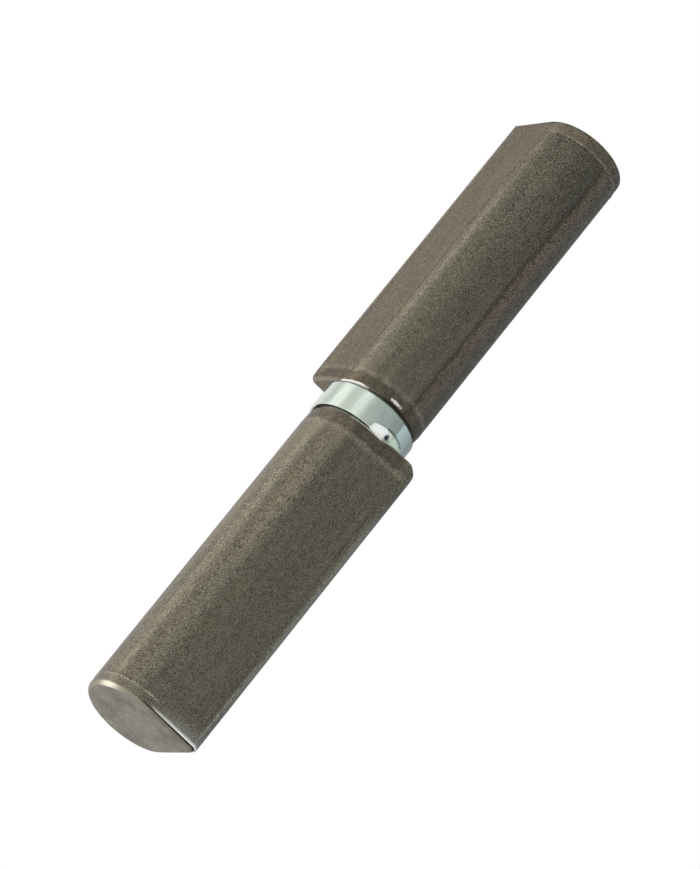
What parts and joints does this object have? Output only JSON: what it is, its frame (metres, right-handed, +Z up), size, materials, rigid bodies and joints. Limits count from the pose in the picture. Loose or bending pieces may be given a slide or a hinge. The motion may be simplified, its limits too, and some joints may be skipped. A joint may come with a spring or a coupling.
{
  "type": "weld-on hinge",
  "caption": "Lift-off weld-on hinge with drop-section forged steel leaves, a hidden pin and a plated thrust ball bearing between the leaves.",
  "frame": {"origin": "on the pin's axis, halfway up the hinge", "axes": "+Z up along the pin's axis; the lower leaf's fin points along +X and the upper leaf's fin along -X; the weld flats face +Y"},
  "size_m": [0.0274, 0.0184, 0.14],
  "materials": {
    "forged_steel": "bare forged steel, warm grey, satin, finely speckled",
    "zinc_plate": "bright zinc plating, smooth and glossy",
    "ground_steel": "ground steel, fine rings round the pin",
    "race_steel": "hardened and turned bearing steel",
    "ball_steel": "polished bearing steel"
  },
  "bodies": {
    "lower": {"lower_leaf": "forged_steel", "hinge_pin": "ground_steel", "lower_race": "race_steel"},
    "ball_train": {"ball_01": "ball_steel", "ball_02": "ball_steel", "ball_03": "ball_steel", "ball_04": "ball_steel", "ball_05": "ball_steel", "ball_06": "ball_steel", "ball_07": "ball_steel", "ball_08": "ball_steel", "ball_09": "ball_steel", "ball_10": "ball_steel", "ball_11": "ball_steel", "ball_12": "ball_steel", "ball_13": "ball_steel", "ball_14": "ball_steel", "ball_15": "ball_steel"},
    "bearing_top": {"bearing_shell": "zinc_plate", "upper_race": "race_steel"},
    "upper": {"upper_leaf": "forged_steel"}
  },
  "joints": [
    {"name": "swing", "type": "hinge", "parent": "lower", "child": "bearing_top", "pos_m": [0, 0, 0], "axis": [0, 0, 1], "continuous": true},
    {"name": "ball_roll", "type": "hinge", "parent": "lower", "child": "ball_train", "pos_m": [0, 0, 0], "axis": [0, 0, 1], "continuous": true},
    {"name": "lift_off", "type": "slide", "parent": "bearing_top", "child": "upper", "axis": [0, 0, 1], "range_m": [0, 0.034]}
  ],
  "couplings": [
    {"joint": "ball_roll", "follows": "swing", "ratio": 0.5}
  ]
}
